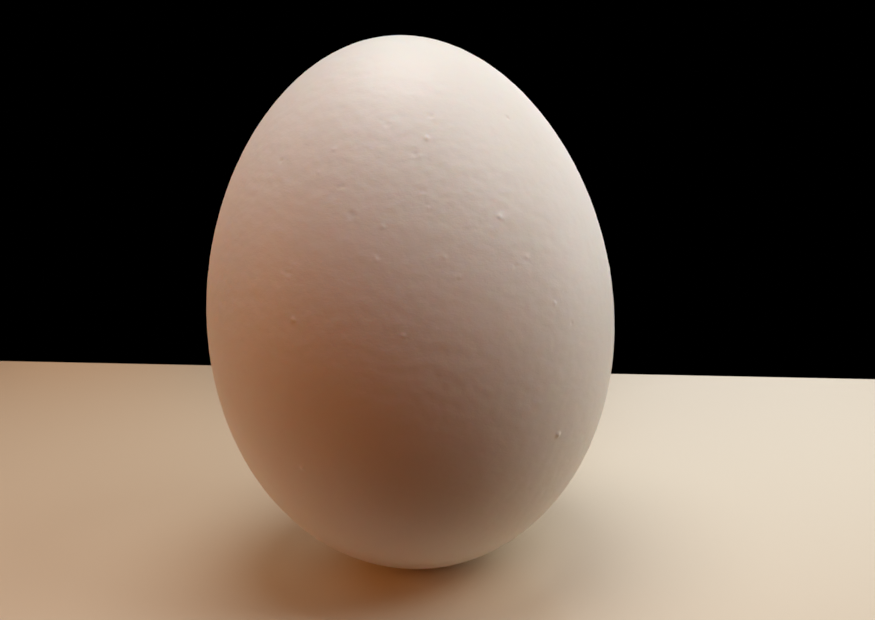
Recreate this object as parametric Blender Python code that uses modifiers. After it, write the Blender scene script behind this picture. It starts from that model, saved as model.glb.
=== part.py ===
"""A hen's egg standing upright on the small flat spot of its blunt end.

Units are metres and +Z is up. The origin is the centre of the resting spot, the front faces -Y,
and the egg's long axis is the Z axis, with the narrow end at the top.
"""

import math

import bmesh
import bpy
from mathutils import Matrix, Vector

# Driving dimensions.
EGG_LENGTH = 0.0575  # pole to pole
WIDTH_TO_LENGTH = 0.758  # greatest width as a share of the length
TAPER = 0.059  # share by which the narrow end draws in and the blunt end fills out
POLE_SLIMMING = 0.011  # share by which both ends are slimmer than an ellipse with that taper
REST_SPOT_RADIUS = 0.003  # the flat spot that the blunt end stands on

# Lime pimples: turn from the front in degrees (positive towards +X), height above the blunt pole
# as a share of the length, and width.
FRONT_PIMPLES = (
    (27.0, 0.702, 0.00085),
    (40.9, 0.319, 0.00085),
    (9.3, 0.833, 0.00060),
    (-8.0, 0.655, 0.00060),
    (32.7, 0.634, 0.00065),
    (-34.3, 0.299, 0.00065),
    (-6.0, 0.704, 0.00050),
)
# The same kind of pimple, thinly spread over the sides and back.
BACK_PIMPLES = (
    (82.0, 0.560, 0.00070),
    (104.0, 0.790, 0.00055),
    (118.0, 0.310, 0.00080),
    (149.0, 0.630, 0.00060),
    (171.0, 0.440, 0.00085),
    (196.0, 0.760, 0.00065),
    (214.0, 0.250, 0.00055),
    (243.0, 0.580, 0.00075),
    (268.0, 0.380, 0.00060),
    (281.0, 0.810, 0.00070),
)
PIMPLE_HEIGHT_TO_WIDTH = 0.26
PIMPLE_SUNK_SHARE = 0.5  # share of the dome's half height that is below the surface
PIMPLE_SIDES = 12
PIMPLE_RINGS = 8

# Facets: rows between the poles, and sides round the axis.
PROFILE_ROWS = 44
TURN_STEPS = 72
AXIS_MERGE_DISTANCE = 0.00001

SHELL_COLOUR = (0.78, 0.70, 0.62, 1.0)
SHELL_ROUGHNESS = 0.5

HALF_LENGTH = EGG_LENGTH / 2
HALF_WIDTH = EGG_LENGTH * WIDTH_TO_LENGTH / 2
BLUNT_POLE_FULLNESS = 1 + TAPER - POLE_SLIMMING
REST_ANGLE = math.pi - REST_SPOT_RADIUS / (HALF_WIDTH * BLUNT_POLE_FULLNESS)
REST_HEIGHT = HALF_LENGTH * (1 + math.cos(REST_ANGLE))  # of the flat spot above the blunt pole


def profile_point(angle: float) -> Vector:
    """A point of the egg's outline in the XZ plane, at an angle of 0 at the top and pi at the blunt pole."""
    along = math.cos(angle)
    half_width = HALF_WIDTH * math.sin(angle) * (1 - TAPER * along - POLE_SLIMMING * along**2)
    return Vector((half_width, 0, HALF_LENGTH * (1 + along) - REST_HEIGHT))


def surface_frame(turn_degrees: float, height_share: float) -> Matrix:
    """The place and direction of a point on the shell, as a matrix whose Z axis points out of it."""
    angle = math.acos(2 * height_share - 1)
    step = 0.001
    downward = profile_point(angle + step) - profile_point(angle - step)
    outward = Vector((-downward.z, 0, downward.x)).normalized()
    turn = Matrix.Rotation(math.radians(turn_degrees - 90), 4, "Z")
    facing = outward.to_track_quat("Z", "Y").to_matrix().to_4x4()
    return turn @ Matrix.Translation(profile_point(angle)) @ facing


def new_collection(name: str) -> bpy.types.Collection:
    """A new collection in the scene."""
    collection = bpy.data.collections.new(name)
    bpy.context.scene.collection.children.link(collection)
    return collection


def shell_material() -> bpy.types.Material:
    """The matt, pale cream surface of a hen's eggshell."""
    material = bpy.data.materials.new("eggshell")
    material.use_nodes = True
    surface = material.node_tree.nodes["Principled BSDF"]
    surface.inputs["Base Color"].default_value = SHELL_COLOUR
    surface.inputs["Roughness"].default_value = SHELL_ROUGHNESS
    surface.inputs["Metallic"].default_value = 0.0
    return material


def turned_egg(collection: bpy.types.Collection) -> bpy.types.Object:
    """The egg as its outline turned about the long axis, closed below by the flat resting spot."""
    outline = bmesh.new()
    angles = [REST_ANGLE * row / PROFILE_ROWS for row in range(PROFILE_ROWS + 1)]
    points = [profile_point(angle) for angle in angles]
    points[-1].z = 0.0
    points.append(Vector((0, 0, 0)))
    corners = [outline.verts.new(point) for point in points]
    for upper, lower in zip(corners, corners[1:]):
        outline.edges.new((upper, lower))
    mesh = bpy.data.meshes.new("egg")
    outline.to_mesh(mesh)
    outline.free()

    egg = bpy.data.objects.new("egg", mesh)
    collection.objects.link(egg)
    egg.data.materials.append(shell_material())
    turn = egg.modifiers.new("turn", "SCREW")
    turn.steps = TURN_STEPS
    turn.render_steps = TURN_STEPS
    turn.use_merge_vertices = True
    turn.merge_threshold = AXIS_MERGE_DISTANCE
    turn.use_smooth_shade = True
    return egg


def pimple_domes(collection: bpy.types.Collection) -> bpy.types.Object:
    """Small round domes at the pimples' places, each sunk partly into the shell."""
    domes = bmesh.new()
    foot_share = math.sqrt(1 - PIMPLE_SUNK_SHARE**2)
    for turn_degrees, height_share, width in FRONT_PIMPLES + BACK_PIMPLES:
        half_height = width * PIMPLE_HEIGHT_TO_WIDTH / (1 - PIMPLE_SUNK_SHARE)
        half_width = width / 2 / foot_share
        sunk = Matrix.Translation((0, 0, -half_height * PIMPLE_SUNK_SHARE))
        shape = Matrix.Diagonal((half_width, half_width, half_height, 1))
        bmesh.ops.create_uvsphere(
            domes,
            u_segments=PIMPLE_SIDES,
            v_segments=PIMPLE_RINGS,
            radius=1,
            matrix=surface_frame(turn_degrees, height_share) @ sunk @ shape,
        )
    mesh = bpy.data.meshes.new("pimple_domes")
    domes.to_mesh(mesh)
    domes.free()
    mesh.shade_smooth()
    guide = bpy.data.objects.new("pimple_domes", mesh)
    guide.hide_render = True
    guide.display_type = "WIRE"
    collection.objects.link(guide)
    return guide


def fuse(body: bpy.types.Object, addition: bpy.types.Object) -> None:
    """Joins the addition to the body as one solid."""
    join = body.modifiers.new("fuse_" + addition.name, "BOOLEAN")
    join.operation = "UNION"
    join.solver = "EXACT"
    join.object = addition


def main() -> None:
    """Clears the scene and builds the egg."""
    for old in list(bpy.data.objects):
        bpy.data.objects.remove(old)
    egg = turned_egg(new_collection("hens_egg"))
    fuse(egg, pimple_domes(new_collection("fused_shapes")))


main()
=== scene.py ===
"""The looks of a hen's egg that stands upright on a plain pale floor in soft studio light.

The shell is one closed mesh on the egg's own outline. Its orange peel relief, its lime pimples and its
shallow dimples are real shape, and only the finest grain is left to the material. Lengths are metres,
unless a name ends in _mm. The front faces -Y, and a turn is in degrees from there, positive towards +X.
"""

import logging
import math
from dataclasses import dataclass, field
from enum import Enum
from typing import Any

import bmesh
import bpy
import numpy as np
from mathutils import Matrix, Vector, noise


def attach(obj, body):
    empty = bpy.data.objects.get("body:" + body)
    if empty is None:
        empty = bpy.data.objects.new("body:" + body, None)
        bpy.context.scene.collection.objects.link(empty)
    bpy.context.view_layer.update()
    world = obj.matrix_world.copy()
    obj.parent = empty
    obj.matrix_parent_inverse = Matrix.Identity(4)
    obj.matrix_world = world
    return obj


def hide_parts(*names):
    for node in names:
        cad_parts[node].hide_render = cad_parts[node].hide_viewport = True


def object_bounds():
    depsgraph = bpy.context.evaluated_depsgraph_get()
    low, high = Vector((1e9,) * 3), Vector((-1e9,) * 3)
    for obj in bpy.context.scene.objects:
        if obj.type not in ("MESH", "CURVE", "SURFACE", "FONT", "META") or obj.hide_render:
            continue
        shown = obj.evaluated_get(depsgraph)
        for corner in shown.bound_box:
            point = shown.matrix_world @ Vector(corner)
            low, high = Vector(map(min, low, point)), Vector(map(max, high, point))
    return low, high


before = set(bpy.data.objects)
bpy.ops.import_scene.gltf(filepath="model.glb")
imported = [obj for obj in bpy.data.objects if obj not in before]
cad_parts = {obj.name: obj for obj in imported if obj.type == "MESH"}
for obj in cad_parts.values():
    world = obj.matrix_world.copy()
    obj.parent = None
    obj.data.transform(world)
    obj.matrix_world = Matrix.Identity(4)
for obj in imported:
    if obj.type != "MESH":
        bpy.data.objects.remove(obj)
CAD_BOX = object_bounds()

MM = 0.001
CHALK = "chalk"  # the mesh attribute that says how much of the surface is bare lime
BLACK = "000000"

# Blender numbers the sockets of its Mix node, because their names repeat. These are the colour ones.
MIX_SHARE, MIX_FIRST, MIX_SECOND, MIX_RESULT = 0, 6, 7, 2

logging.basicConfig(level=logging.INFO, format="%(levelname)s %(message)s")
log = logging.getLogger("hens_egg")


def linear_colour(hex_code: str) -> tuple[float, float, float, float]:
    """Turns an sRGB hex colour into linear light.

    Args:
        hex_code: six hex digits, such as "E7DFD7".

    Returns:
        Linear red, green and blue, and an alpha of 1.
    """
    shares = [int(hex_code[at : at + 2], 16) / 255 for at in (0, 2, 4)]
    red, green, blue = (s / 12.92 if s <= 0.04045 else ((s + 0.055) / 1.055) ** 2.4 for s in shares)
    return (red, green, blue, 1.0)


def add_node(
    tree: bpy.types.NodeTree,
    kind: str,
    settings: dict[str, Any] | None = None,
    values: dict[str | int, Any] | None = None,
    links: dict[str | int, bpy.types.NodeSocket] | None = None,
) -> bpy.types.Node:
    """Adds one node with its settings, its input values and the links that feed it.

    Args:
        tree: the node tree that takes the node.
        kind: Blender's name for the kind of node.
        settings: the node's own properties, by name.
        values: values of its input sockets, by the socket's name or number.
        links: sockets of other nodes that feed it, by the name or number of its own socket.

    Returns:
        The new node.
    """
    node = tree.nodes.new(kind)
    for name, setting in (settings or {}).items():
        setattr(node, name, setting)
    for socket, value in (values or {}).items():
        node.inputs[socket].default_value = value
    for socket, source in (links or {}).items():
        tree.links.new(source, node.inputs[socket])
    return node


@dataclass(frozen=True)
class EggOutline:
    """The outline of the egg, turned about Z: an ellipse with a taper, cut flat where it rests.

    It fills the solid's box. A place on it is given by along, which is 1 at the narrow top and -1 at the
    blunt pole, just below the flat resting spot. The fullest place is looked for at so many levels,
    slope_step is the step in along that slopes are taken over, and least_across keeps the poles from a
    division by zero.
    """

    height: float = CAD_BOX[1].z - CAD_BOX[0].z
    width: float = CAD_BOX[1].x - CAD_BOX[0].x
    taper: float = 0.059
    pole_slimming: float = 0.011
    rest_spot_radius: float = 3.0 * MM
    levels: int = 1001
    slope_step: float = 1e-4
    least_across: float = 1e-9

    def fullness(self, along: np.ndarray) -> np.ndarray:
        """How wide the egg is at each place, as a share that is about 1 at the fullest."""
        return np.sqrt(1 - along**2) * (1 - self.taper * along - self.pole_slimming * along**2)

    @property
    def half_width(self) -> float:
        """Half the width that the shares of fullness are of."""
        return self.width / 2 / self.fullness(np.linspace(-1, 1, self.levels)).max()

    @property
    def length(self) -> float:
        """Length from pole to pole, with the sliver that the flat spot cuts off."""
        blunt_radius = self.half_width * (1 + self.taper - self.pole_slimming)
        return self.height * 2 / (1 + math.cos(self.rest_spot_radius / blunt_radius))

    def split(self, directions: np.ndarray) -> tuple[np.ndarray, np.ndarray]:
        """Splits directions into how far along the egg they point and which way round it.

        Args:
            directions: unit vectors, one a row.

        Returns:
            The value of along for each, and its level unit direction from the axis, one a row.
        """
        along = np.clip(directions[:, 2], -1, 1)
        across = np.maximum(np.sqrt(1 - along**2), self.least_across)
        return along, directions[:, :2] / across[:, None]

    def points(self, directions: np.ndarray) -> np.ndarray:
        """Puts unit directions onto the shell.

        Args:
            directions: unit vectors, one a row.

        Returns:
            The points of the shell, one a row.
        """
        along, around = self.split(directions)
        radii = self.half_width * self.fullness(along)
        heights = self.height - self.length / 2 * (1 - along)
        return np.column_stack([around * radii[:, None], heights])

    def normals(self, directions: np.ndarray) -> np.ndarray:
        """The way that the shell faces.

        Args:
            directions: the unit directions of its points, one a row.

        Returns:
            The unit normals, one a row.
        """
        along, around = self.split(directions)
        upper = np.minimum(along + self.slope_step, 1)
        lower = np.maximum(along - self.slope_step, -1)
        widening = self.half_width * (self.fullness(lower) - self.fullness(upper))
        drop = self.length / 2 * (upper - lower)
        normals = np.column_stack([around * drop[:, None], widening])
        return normals / np.linalg.norm(normals, axis=1, keepdims=True)

    def direction(self, turn: float, height_share: float) -> Vector:
        """The unit direction that points() puts at a turn and a height.

        Args:
            turn: degrees from the front.
            height_share: height above the blunt pole, as a share of the length.

        Returns:
            The direction.
        """
        along = 2 * height_share - 1
        across = math.sqrt(1 - along**2)
        return Vector((across * math.sin(math.radians(turn)), -across * math.cos(math.radians(turn)), along))


class MarkKind(Enum):
    """How a small mark stands on the shell: 1 rises from it and -1 sinks into it."""

    PIMPLE = 1
    DIMPLE = -1


@dataclass(frozen=True)
class Mark:
    """One small mark on the shell.

    A pimple is a grain of lime that was left on the shell as it was laid, and chalk is how white it is.
    A dimple is a shallow hollow of the shell's own colour. rise_mm is the height of the one and the depth
    of the other. Both are soft bumps, and steepness is how fast they fall off from the middle.
    """

    turn: float
    height_share: float
    width_mm: float
    rise_mm: float
    chalk: float = 0.0
    kind: MarkKind = MarkKind.PIMPLE
    steepness: float = 1.6

    def closeness(self, points: np.ndarray, outline: EggOutline) -> np.ndarray:
        """How near each point is to the mark's middle, as a soft round bump.

        Args:
            points: points of the shell, one a row.
            outline: the outline that the mark is on.

        Returns:
            1 at the middle, 0.2 at the rim and fading to nothing beyond it, for each point.
        """
        middle = outline.points(np.array([self.direction(outline)]))[0]
        reach = np.linalg.norm(points - middle, axis=1) / (self.width_mm * MM / 2)
        return np.exp(-self.steepness * reach**2)

    def direction(self, outline: EggOutline) -> Vector:
        """The unit direction of the mark's middle."""
        return outline.direction(self.turn, self.height_share)


@dataclass(frozen=True)
class OrangePeel:
    """The shell's low relief, like orange peel, and a little rougher in some patches than in others.

    Each wave is the spacing of its bumps round the egg and how far they rise and sink, in millimetres.
    Up the egg they are closer by the height share, so they look like short level dashes. Each wave's
    noise is taken at another place, by the shift, so that the waves don't rise and sink together. The
    patches are patch_mm across, and patch_share is how much rougher or smoother they are.
    """

    waves_mm: tuple[tuple[float, float], ...] = ((2.6, 0.012), (1.3, 0.019), (0.7, 0.015))
    patch_mm: float = 14.0
    patch_share: float = 0.3
    height_share: float = 0.62
    shift: float = 37.0

    def rise(self, point: Vector) -> float:
        """How far the relief lifts one point.

        Args:
            point: the point on the smooth shell.

        Returns:
            The lift, which may be below zero.
        """
        place = Vector((point.x, point.y, point.z / self.height_share)) / MM
        lift_mm = sum(
            rise_mm * noise.noise(place / spacing_mm + Vector((self.shift * number, 0, 0)))
            for number, (spacing_mm, rise_mm) in enumerate(self.waves_mm)
        )
        return lift_mm * MM * (1 + self.patch_share * noise.noise(place / self.patch_mm))


@dataclass(frozen=True)
class MattEggshell:
    """Eggshell: calcite crystals under a thin dried cuticle, grown and never polished.

    The cuticle leaves it matt, with only a weak broad sheen. Its colour clouds faintly where the cuticle
    is thinner, grains of bare lime are whiter, and light that goes into the shell comes out redder. The
    glow is that light: its share, its depth, and how far red, green and blue reach as shares of the depth.
    """

    pale: str = "E9E4DC"
    cream: str = "E5E0D8"
    lime: str = "F6F3EE"
    cloud_mm: float = 9.0
    cloud_detail: float = 3.0
    grain_mm: float = 0.45
    grain_detail: float = 2.0
    grain_crispness: float = 0.6
    grain_rise_mm: float = 0.013
    grain_height_share: float = 0.62
    least_roughness: float = 0.46
    most_roughness: float = 0.56
    ior: float = 1.5
    glow_share: float = 0.35
    glow_depth_mm: float = 4.0
    glow_reach: tuple[float, float, float] = (1.0, 0.45, 0.25)

    def material(self) -> bpy.types.Material:
        """Makes the material.

        Returns:
            The material, with its colour, its roughness and its finest grain from nodes.
        """
        material = bpy.data.materials.new("matt_eggshell")
        material.use_nodes = True
        tree = material.node_tree
        surface = tree.nodes["Principled BSDF"]
        place = add_node(tree, "ShaderNodeTexCoord").outputs["Object"]
        clouds = add_node(
            tree,
            "ShaderNodeTexNoise",
            values={"Scale": 1 / (self.cloud_mm * MM), "Detail": self.cloud_detail},
            links={"Vector": place},
        ).outputs["Fac"]
        cuticle = add_node(
            tree,
            "ShaderNodeMix",
            settings={"data_type": "RGBA"},
            values={MIX_FIRST: linear_colour(self.pale), MIX_SECOND: linear_colour(self.cream)},
            links={MIX_SHARE: clouds},
        ).outputs[MIX_RESULT]
        chalk = add_node(tree, "ShaderNodeAttribute", settings={"attribute_name": CHALK}).outputs["Fac"]
        colour = add_node(
            tree,
            "ShaderNodeMix",
            settings={"data_type": "RGBA"},
            values={MIX_SECOND: linear_colour(self.lime)},
            links={MIX_SHARE: chalk, MIX_FIRST: cuticle},
        ).outputs[MIX_RESULT]
        roughness = add_node(
            tree,
            "ShaderNodeMapRange",
            values={"To Min": self.least_roughness, "To Max": self.most_roughness},
            links={"Value": clouds},
        ).outputs["Result"]
        # Calcite grains are 0.05 mm wide. They are drawn nine times as coarse, or they would not show.
        flattened = add_node(
            tree,
            "ShaderNodeMapping",
            values={"Scale": (1, 1, 1 / self.grain_height_share)},
            links={"Vector": place},
        ).outputs["Vector"]
        grain = add_node(
            tree,
            "ShaderNodeTexNoise",
            values={
                "Scale": 1 / (self.grain_mm * MM),
                "Detail": self.grain_detail,
                "Roughness": self.grain_crispness,
            },
            links={"Vector": flattened},
        ).outputs["Fac"]
        bump = add_node(
            tree,
            "ShaderNodeBump",
            values={"Strength": 1.0, "Distance": self.grain_rise_mm * MM},
            links={"Height": grain},
        ).outputs["Normal"]
        for socket, source in (("Base Color", colour), ("Roughness", roughness), ("Normal", bump)):
            tree.links.new(source, surface.inputs[socket])
        surface.inputs["IOR"].default_value = self.ior
        surface.inputs["Subsurface Weight"].default_value = self.glow_share
        surface.inputs["Subsurface Scale"].default_value = self.glow_depth_mm * MM
        surface.inputs["Subsurface Radius"].default_value = self.glow_reach
        return material


@dataclass
class WholeEgg:
    """The whole egg in its unbroken shell, as one closed mesh that stands on its flat resting spot.

    It starts as a ball of triangles, an icosphere of the given fineness. Each of its edges is then cut in
    so many places, and each edge near a mark is cut so once more. finer_reach is how near, as a share of
    the mark's width.
    """

    name: str = "whole_egg"
    outline: EggOutline = field(default_factory=EggOutline)
    peel: OrangePeel = field(default_factory=OrangePeel)
    finish: MattEggshell = field(default_factory=MattEggshell)
    ball_fineness: int = 6
    cuts: int = 2
    finer_reach: float = 1.0
    front_pimples: tuple[Mark, ...] = (
        Mark(27.0, 0.702, 0.65, 0.065, chalk=0.2),
        Mark(40.9, 0.319, 0.70, 0.18, chalk=0.3),
        Mark(9.3, 0.833, 0.60, 0.045),
        Mark(-8.0, 0.655, 0.60, 0.04, chalk=0.5),
        Mark(32.7, 0.634, 0.60, 0.025, chalk=0.4),
        Mark(-34.3, 0.299, 0.65, 0.12, chalk=1.0),
        Mark(-6.0, 0.704, 0.65, 0.035, chalk=0.15),
        Mark(-2.2, 0.534, 0.60, 0.02, chalk=0.3),
        Mark(-30.6, 0.560, 0.55, 0.04, chalk=0.3),
        Mark(39.4, 0.552, 0.50, 0.045, chalk=0.2),
        Mark(9.6, 0.650, 0.55, 0.025),
        Mark(6.7, 0.728, 0.50, 0.02, chalk=0.3),
        Mark(12.8, 0.618, 0.55, 0.02),
        Mark(-22.6, 0.823, 0.55, 0.02),
        Mark(-26.7, 0.788, 0.55, 0.03),
    )
    back_pimples: tuple[Mark, ...] = (
        Mark(82.0, 0.560, 0.70, 0.04, chalk=0.4),
        Mark(104.0, 0.790, 0.55, 0.06, chalk=0.6),
        Mark(118.0, 0.310, 0.80, 0.14, chalk=0.4),
        Mark(149.0, 0.630, 0.60, 0.08, chalk=0.5),
        Mark(171.0, 0.440, 0.85, 0.11, chalk=0.3),
        Mark(196.0, 0.760, 0.65, 0.10, chalk=0.5),
        Mark(214.0, 0.250, 0.55, 0.08, chalk=0.6),
        Mark(243.0, 0.580, 0.75, 0.12, chalk=0.3),
        Mark(268.0, 0.380, 0.60, 0.08, chalk=0.5),
        Mark(281.0, 0.810, 0.70, 0.10, chalk=0.4),
    )
    dimples: tuple[Mark, ...] = (
        Mark(4.6, 0.810, 0.75, 0.042, kind=MarkKind.DIMPLE),
        Mark(-14.9, 0.723, 0.90, 0.03, kind=MarkKind.DIMPLE),
        Mark(-33.3, 0.633, 0.70, 0.015, kind=MarkKind.DIMPLE),
        Mark(12.5, 0.866, 0.70, 0.045, kind=MarkKind.DIMPLE),
        Mark(45.9, 0.852, 0.60, 0.09, kind=MarkKind.DIMPLE),
        Mark(-4.5, 0.858, 0.70, 0.03, kind=MarkKind.DIMPLE),
        Mark(-18.2, 0.767, 0.60, 0.015, kind=MarkKind.DIMPLE),
        Mark(-43.5, 0.806, 0.55, 0.03, kind=MarkKind.DIMPLE),
        Mark(6.1, 0.753, 0.50, 0.013, kind=MarkKind.DIMPLE),
        Mark(28.4, 0.623, 0.50, 0.018, kind=MarkKind.DIMPLE),
        Mark(45.0, 0.511, 0.50, 0.03, kind=MarkKind.DIMPLE),
    )

    @property
    def marks(self) -> tuple[Mark, ...]:
        """Every pimple and dimple."""
        return self.front_pimples + self.back_pimples + self.dimples

    def even_ball(self) -> bmesh.types.BMesh:
        """A closed ball of nearly even triangles.

        Returns:
            The ball, with its points on the unit sphere.
        """
        ball = bmesh.new()
        bmesh.ops.create_icosphere(ball, subdivisions=self.ball_fineness, radius=1)
        bmesh.ops.subdivide_edges(ball, edges=ball.edges[:], cuts=self.cuts, use_grid_fill=True)
        for vert in ball.verts:
            vert.co.normalize()
        return ball

    def cut_finer(self, ball: bmesh.types.BMesh) -> None:
        """Cuts the triangles round each mark smaller, so that it comes out round.

        Args:
            ball: the unit ball, which is changed in place.
        """
        for mark in self.marks:
            middle = mark.direction(self.outline)
            reach = mark.width_mm * MM * self.finer_reach / self.outline.half_width
            near = [e for e in ball.edges if all((v.co - middle).length < reach for v in e.verts)]
            bmesh.ops.subdivide_edges(ball, edges=near, cuts=self.cuts, use_grid_fill=True)
        bmesh.ops.triangulate(ball, faces=[face for face in ball.faces if len(face.verts) > 3])

    def lifts(self, points: np.ndarray) -> np.ndarray:
        """How far the relief and the marks lift each point of the smooth shell.

        Args:
            points: the points, one a row.

        Returns:
            The lift of each along its normal. The relief only sinks, to stay inside the solid's box.
        """
        peel = np.array([self.peel.rise(Vector(point)) for point in points])
        marks = sum(m.kind.value * m.rise_mm * MM * m.closeness(points, self.outline) for m in self.marks)
        return peel - peel.max() + marks

    def build(self) -> None:
        """Makes the egg, which rides on the body and stands for the plain solid."""
        ball = self.even_ball()
        self.cut_finer(ball)
        directions = np.array([vert.co.normalized() for vert in ball.verts])
        smooth = self.outline.points(directions)
        shell = smooth + self.outline.normals(directions) * self.lifts(smooth)[:, None]
        shell[:, 2] = np.maximum(shell[:, 2], CAD_BOX[0].z)
        for vert, point in zip(ball.verts, shell):
            vert.co = point
        mesh = bpy.data.meshes.new(self.name)
        ball.to_mesh(mesh)
        ball.free()
        mesh.shade_smooth()
        chalk = sum(mark.chalk * mark.closeness(smooth, self.outline) for mark in self.marks)
        mesh.attributes.new(CHALK, "FLOAT", "POINT").data.foreach_set("value", chalk)
        mesh.materials.append(self.finish.material())
        egg = bpy.data.objects.new(self.name, mesh)
        bpy.context.scene.collection.objects.link(egg)
        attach(egg, "root")
        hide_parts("egg")
        log.info("%s: %d points, %d faces", self.name, len(mesh.vertices), len(mesh.polygons))


@dataclass(frozen=True)
class PaleEnamel:
    """Oil enamel brushed on wood: pale, plain and half glossy, with soft reflections."""

    colour: str = "E3D5BC"
    roughness: float = 0.3

    def material(self) -> bpy.types.Material:
        """Makes the material.

        Returns:
            The material.
        """
        material = bpy.data.materials.new("pale_enamel")
        material.use_nodes = True
        surface = material.node_tree.nodes["Principled BSDF"]
        surface.inputs["Base Color"].default_value = linear_colour(self.colour)
        surface.inputs["Roughness"].default_value = self.roughness
        return material


class Lamp(Enum):
    """The colour of a lamp's light: neutral daylight, a filament lamp, and one behind a rose filter."""

    DAYLIGHT = "FFFFFF"
    TUNGSTEN = "FFAB59"
    ROSE = "FF968A"


@dataclass(frozen=True)
class SoftBox:
    """A small round soft box close to the egg, turned towards its middle.

    Its bearing is in degrees clockwise from straight behind the egg, seen from above. A low one is lifted
    so that it clears the floor by the floor gap.
    """

    name: str
    bearing: float
    elevation: float
    lamp: Lamp
    watts: float
    distance: float = 0.15
    width: float = 0.10
    floor_gap: float = 4 * MM

    def build(self, target: Vector) -> None:
        """Makes the light.

        Args:
            target: the point that it is turned towards.
        """
        bearing, rise = math.radians(self.bearing), math.radians(self.elevation)
        level = Vector((math.sin(bearing), math.cos(bearing), 0))
        light = bpy.data.lights.new(self.name, "AREA")
        light.shape = "DISK"
        light.size = self.width
        light.energy = self.watts
        light.color = linear_colour(self.lamp.value)[:3]
        box = bpy.data.objects.new(self.name, light)
        box.location = target + (level * math.cos(rise) + Vector((0, 0, math.sin(rise)))) * self.distance
        box.location.z = max(box.location.z, self.width / 2 * math.cos(rise) + self.floor_gap)
        box.rotation_mode = "QUATERNION"
        box.rotation_quaternion = (target - box.location).to_track_quat("-Z", "Y")
        box.visible_camera = False
        bpy.context.scene.collection.objects.link(box)


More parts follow.
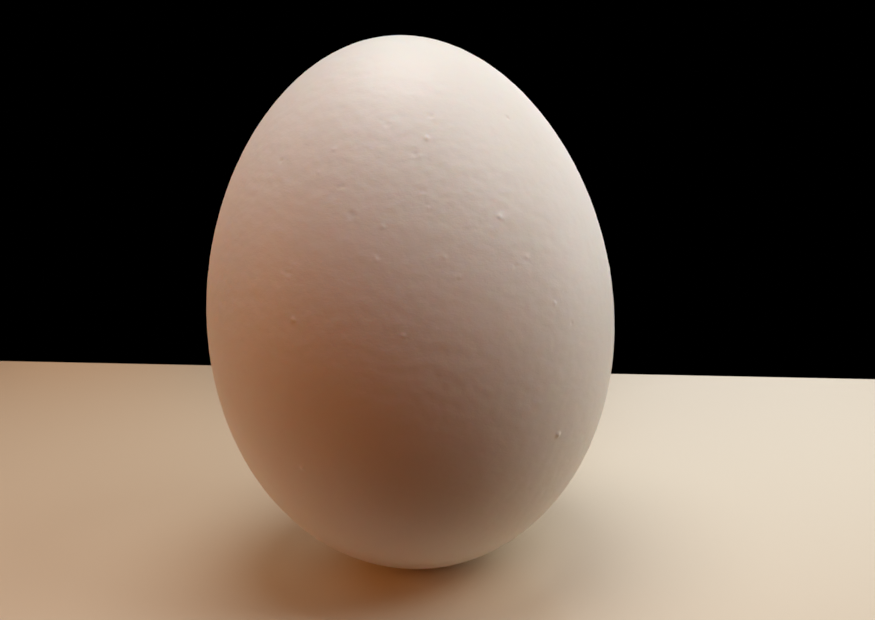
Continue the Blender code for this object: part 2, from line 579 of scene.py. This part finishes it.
@dataclass
class Studio:
    """A plain floor that ends behind the egg, soft boxes round it and black beyond.

    The floor is a back and a front sheet that meet in a line. The front one is seen but throws no light
    back at the egg, as if the egg stood near the front edge of a shelf. The back left and back right are
    two points of the floor's back edge, which goes on past both by the reach. The front sheet is as deep
    as the reach. Every soft box is turned towards the aim height on the egg's axis.
    """

    back_left: tuple[float, float] = (-74.1 * MM, 105.7 * MM)
    back_right: tuple[float, float] = (67.5 * MM, 57.0 * MM)
    front_line: float = -22.5 * MM
    reach: float = 0.9
    aim_height: float = 28.0 * MM
    enamel: PaleEnamel = field(default_factory=PaleEnamel)
    soft_boxes: tuple[SoftBox, ...] = (
        SoftBox("overhead", 0, 90, Lamp.DAYLIGHT, 0.1335),
        SoftBox("right_high", 108, 45, Lamp.DAYLIGHT, 0.0872),
        SoftBox("left_high", 288, 45, Lamp.DAYLIGHT, 0.0215),
        SoftBox("right_low", 75, 5, Lamp.DAYLIGHT, 0.0503),
        SoftBox("back_right_low", 30, 5, Lamp.DAYLIGHT, 0.0308),
        SoftBox("back_left_low", 330, 5, Lamp.TUNGSTEN, 0.0123),
        SoftBox("left_low", 255, 5, Lamp.TUNGSTEN, 0.0464),
        SoftBox("front_right_low", 150, 5, Lamp.TUNGSTEN, 0.0218),
        SoftBox("front_left_low", 210, 5, Lamp.ROSE, 0.0156),
    )

    def sheet(self, name: str, corners: list[tuple[float, float]]) -> bpy.types.Object:
        """One flat sheet of floor.

        Args:
            name: the sheet's name.
            corners: its corners, anticlockwise seen from above.

        Returns:
            The sheet.
        """
        mesh = bpy.data.meshes.new(name)
        mesh.from_pydata([(x, y, 0) for x, y in corners], [], [range(len(corners))])
        mesh.materials.append(self.enamel.material())
        sheet = bpy.data.objects.new(name, mesh)
        bpy.context.scene.collection.objects.link(sheet)
        return sheet

    def build(self) -> None:
        """Makes the floor, the soft boxes and the black world."""
        left, right = Vector(self.back_left), Vector(self.back_right)
        edge = (right - left).normalized() * self.reach
        far_left, far_right = left - edge, right + edge
        line_left, line_right = (far_left.x, self.front_line), (far_right.x, self.front_line)
        near_left, near_right = ((x, self.front_line - self.reach) for x in (far_left.x, far_right.x))
        self.sheet("floor_back", [line_left, line_right, far_right[:], far_left[:]])
        front = self.sheet("floor_front", [near_left, near_right, line_right, line_left])
        front.visible_diffuse = False
        front.visible_glossy = False
        for box in self.soft_boxes:
            box.build(Vector((0, 0, self.aim_height)))
        world = bpy.data.worlds.new("black_beyond")
        world.use_nodes = True
        world.node_tree.nodes["Background"].inputs["Color"].default_value = linear_colour(BLACK)
        bpy.context.scene.world = world
        bpy.context.scene.view_settings.view_transform = "Standard"
        log.info("studio: floor and %d soft boxes", len(self.soft_boxes))


@dataclass(frozen=True)
class PhotoCamera:
    """The camera, where the photograph was taken from: close in front of the egg and a little above.

    It stands at an elevation above the egg's middle. Yaw, pitch and roll turn it from looking level
    along +Y, and the roll gives the lean that the egg has in the picture.
    """

    distance: float = 131.6 * MM
    elevation: float = 12.0
    yaw: float = 1.29
    pitch: float = -12.23
    roll: float = -3.55
    focal_length_px: float = 1215.0
    picture_width_px: float = 875.0
    sensor_width_mm: float = 36.0
    nearest: float = 1 * MM

    def build(self, middle: Vector) -> None:
        """Makes the camera and gives it to the scene.

        Args:
            middle: the egg's middle.
        """
        rise, yaw, pitch, roll = map(math.radians, (self.elevation, self.yaw, self.pitch, self.roll))
        ahead = Vector((math.sin(yaw) * math.cos(pitch), math.cos(yaw) * math.cos(pitch), math.sin(pitch)))
        level = Vector((math.cos(yaw), -math.sin(yaw), 0))
        upright = level.cross(ahead)
        right = level * math.cos(roll) + upright * math.sin(roll)
        up = upright * math.cos(roll) - level * math.sin(roll)
        stand = Matrix((right, up, -ahead)).transposed().to_4x4()
        stand.translation = middle + Vector((0, -math.cos(rise), math.sin(rise))) * self.distance
        lens = bpy.data.cameras.new("photo_camera")
        lens.sensor_width = self.sensor_width_mm
        lens.lens = self.focal_length_px / self.picture_width_px * self.sensor_width_mm
        lens.clip_start = self.nearest
        camera = bpy.data.objects.new("photo_camera", lens)
        camera.matrix_world = stand
        bpy.context.scene.collection.objects.link(camera)
        bpy.context.scene.camera = camera
        log.info("camera: %.0f mm lens, %.0f mm from the egg's middle", lens.lens, self.distance / MM)


def main() -> None:
    egg = WholeEgg()
    egg.build()
    Studio().build()
    PhotoCamera().build(Vector((0, 0, egg.outline.height - egg.outline.length / 2)))


if __name__ == "__main__":
    main()
